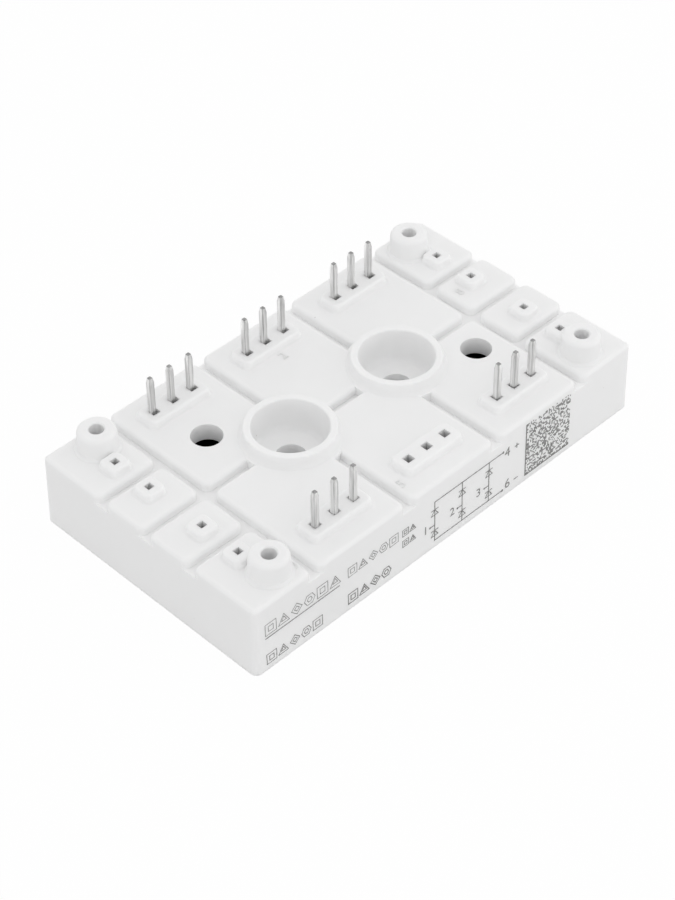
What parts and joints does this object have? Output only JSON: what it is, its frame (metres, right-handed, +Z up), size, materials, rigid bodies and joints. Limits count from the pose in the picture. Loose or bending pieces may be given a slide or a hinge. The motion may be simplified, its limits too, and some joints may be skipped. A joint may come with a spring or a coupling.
{
  "type": "bridge rectifier module",
  "caption": "Three-phase bridge rectifier module: white tiled case with two sunk screw wells, corner bosses for a circuit board, upright solder pins and a copper cooling face.",
  "frame": {"origin": "middle of the cooling face, on the plane that lies on the heat sink", "axes": "+Z up along the solder pins, away from the heat sink; +X along the long side; the printed long side faces -Y"},
  "size_m": [0.0848, 0.0476, 0.0215],
  "materials": {
    "case_plastic": "satin moulded",
    "ceramic": "fired ceramic",
    "copper": "satin copper",
    "adhesive": "soft silicone",
    "gel": "dark soft gel",
    "silicon": "polished",
    "solder": "dull",
    "bond_wire": "bright",
    "tinned_pin": "tin plated"
  },
  "bodies": {
    "root": {"housing": "case_plastic", "ceramic_plate": "ceramic", "cooling_copper": "copper", "adhesive_bead": "adhesive", "gel_fill": "gel", "phase_copper_1": "copper", "phase_copper_2": "copper", "phase_copper_3": "copper", "plus_copper": "copper", "minus_copper": "copper", "plus_diode_1": "silicon", "plus_diode_2": "silicon", "plus_diode_3": "silicon", "minus_diode_1": "silicon", "minus_diode_2": "silicon", "minus_diode_3": "silicon", "plus_diode_solder_1": "solder", "plus_diode_solder_2": "solder", "plus_diode_solder_3": "solder", "minus_diode_solder_1": "solder", "minus_diode_solder_2": "solder", "minus_diode_solder_3": "solder", "plus_diode_wires_1": "bond_wire", "plus_diode_wires_2": "bond_wire", "plus_diode_wires_3": "bond_wire", "minus_diode_wires_1": "bond_wire", "minus_diode_wires_2": "bond_wire", "minus_diode_wires_3": "bond_wire", "phase_1_pin_a": "tinned_pin", "phase_1_pin_b": "tinned_pin", "phase_1_pin_c": "tinned_pin", "phase_2_pin_a": "tinned_pin", "phase_2_pin_b": "tinned_pin", "phase_2_pin_c": "tinned_pin", "phase_3_pin_a": "tinned_pin", "phase_3_pin_b": "tinned_pin", "phase_3_pin_c": "tinned_pin", "plus_pin_a": "tinned_pin", "plus_pin_b": "tinned_pin", "plus_pin_c": "tinned_pin", "minus_pin_a": "tinned_pin", "minus_pin_b": "tinned_pin", "minus_pin_c": "tinned_pin"}
  },
  "joints": []
}
